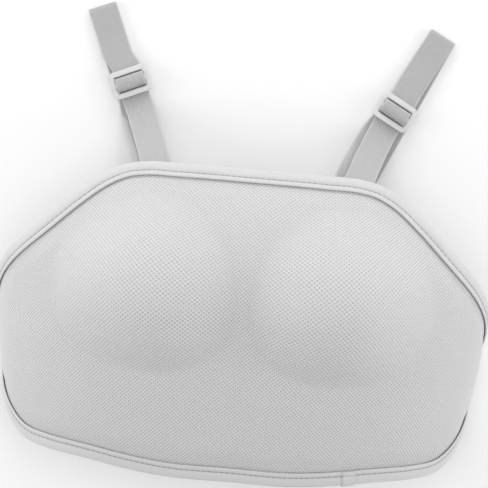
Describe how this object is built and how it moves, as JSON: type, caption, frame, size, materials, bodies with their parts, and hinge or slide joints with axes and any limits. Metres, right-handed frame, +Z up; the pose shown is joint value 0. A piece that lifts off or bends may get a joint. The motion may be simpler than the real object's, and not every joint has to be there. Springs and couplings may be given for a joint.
{
  "type": "fencing chest protector",
  "caption": "White padded chest protector arched like a torso, with moulded cups, taped rim and adjustable elastic shoulder straps, lying front up.",
  "frame": {"origin": "middle of the bottom of the bounding box, on the table", "axes": "+X to the right in the picture, +Y toward the shoulder straps, +Z up out of the front of the chest"},
  "size_m": [0.3734, 0.3504, 0.1548],
  "materials": {
    "padded_panel": "fine white diagonal mesh over a padded moulded core",
    "edge_binding": "smooth white folded tape with one line of stitches",
    "strap_left": "white ribbed elastic webbing",
    "strap_right": "white ribbed elastic webbing",
    "slider_left": "milky white moulded plastic, soft gloss",
    "slider_right": "milky white moulded plastic, soft gloss",
    "strap_loop_left": "plain white moulded plastic",
    "strap_loop_right": "plain white moulded plastic",
    "back_band": "white ribbed elastic webbing"
  },
  "bodies": {
    "root": {"padded_panel": "padded_panel", "edge_binding": "edge_binding", "strap_left": "strap_left", "strap_right": "strap_right", "slider_left": "slider_left", "slider_right": "slider_right", "strap_loop_left": "strap_loop_left", "strap_loop_right": "strap_loop_right", "back_band": "back_band"}
  },
  "joints": []
}
